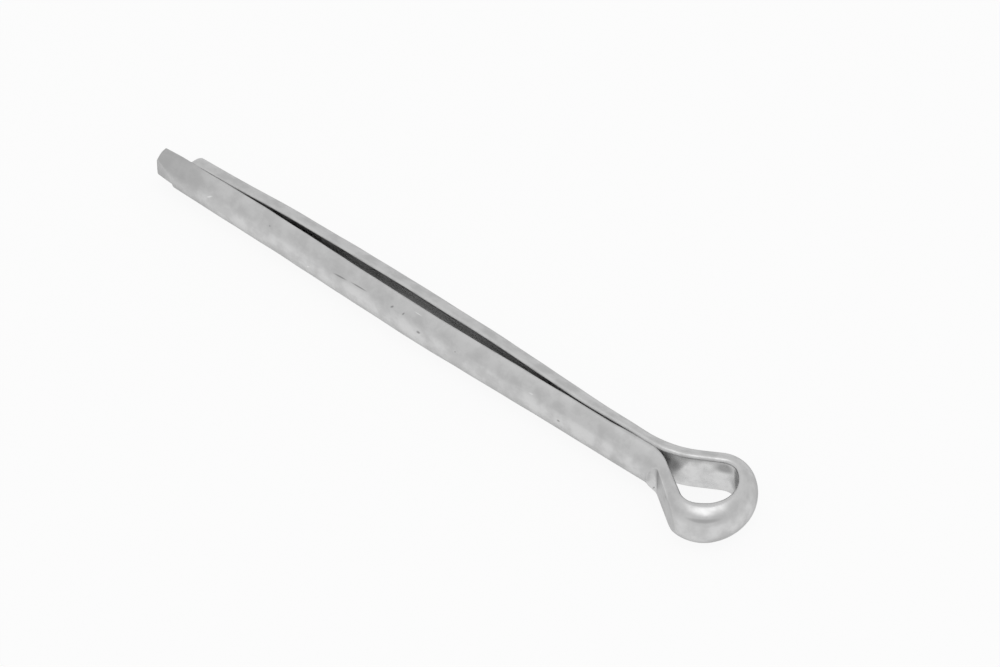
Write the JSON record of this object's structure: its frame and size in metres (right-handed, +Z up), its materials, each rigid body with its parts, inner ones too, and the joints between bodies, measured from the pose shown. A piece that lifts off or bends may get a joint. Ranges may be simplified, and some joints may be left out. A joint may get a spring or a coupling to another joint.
{
  "type": "split cotter pin",
  "caption": "Split pin folded from one length of half-round steel wire, with a formed eye, two sprung legs of unequal length and a mitred point on the longer leg.",
  "frame": {"origin": "on the shank's axis at the crotch, where the two legs part to form the eye, which is the shoulder that stops the pin in its hole", "axes": "+X along the shank from the eye towards the points, +Y across the split towards the longer leg, +Z up, square to the flat plane of the eye; the pin lies on its side"},
  "size_m": [0.0621, 0.0087, 0.004],
  "materials": {
    "steel": "bright bare steel, drawn and tumbled, slightly mottled"
  },
  "bodies": {
    "root": {"cotter_pin": "steel"}
  },
  "joints": []
}
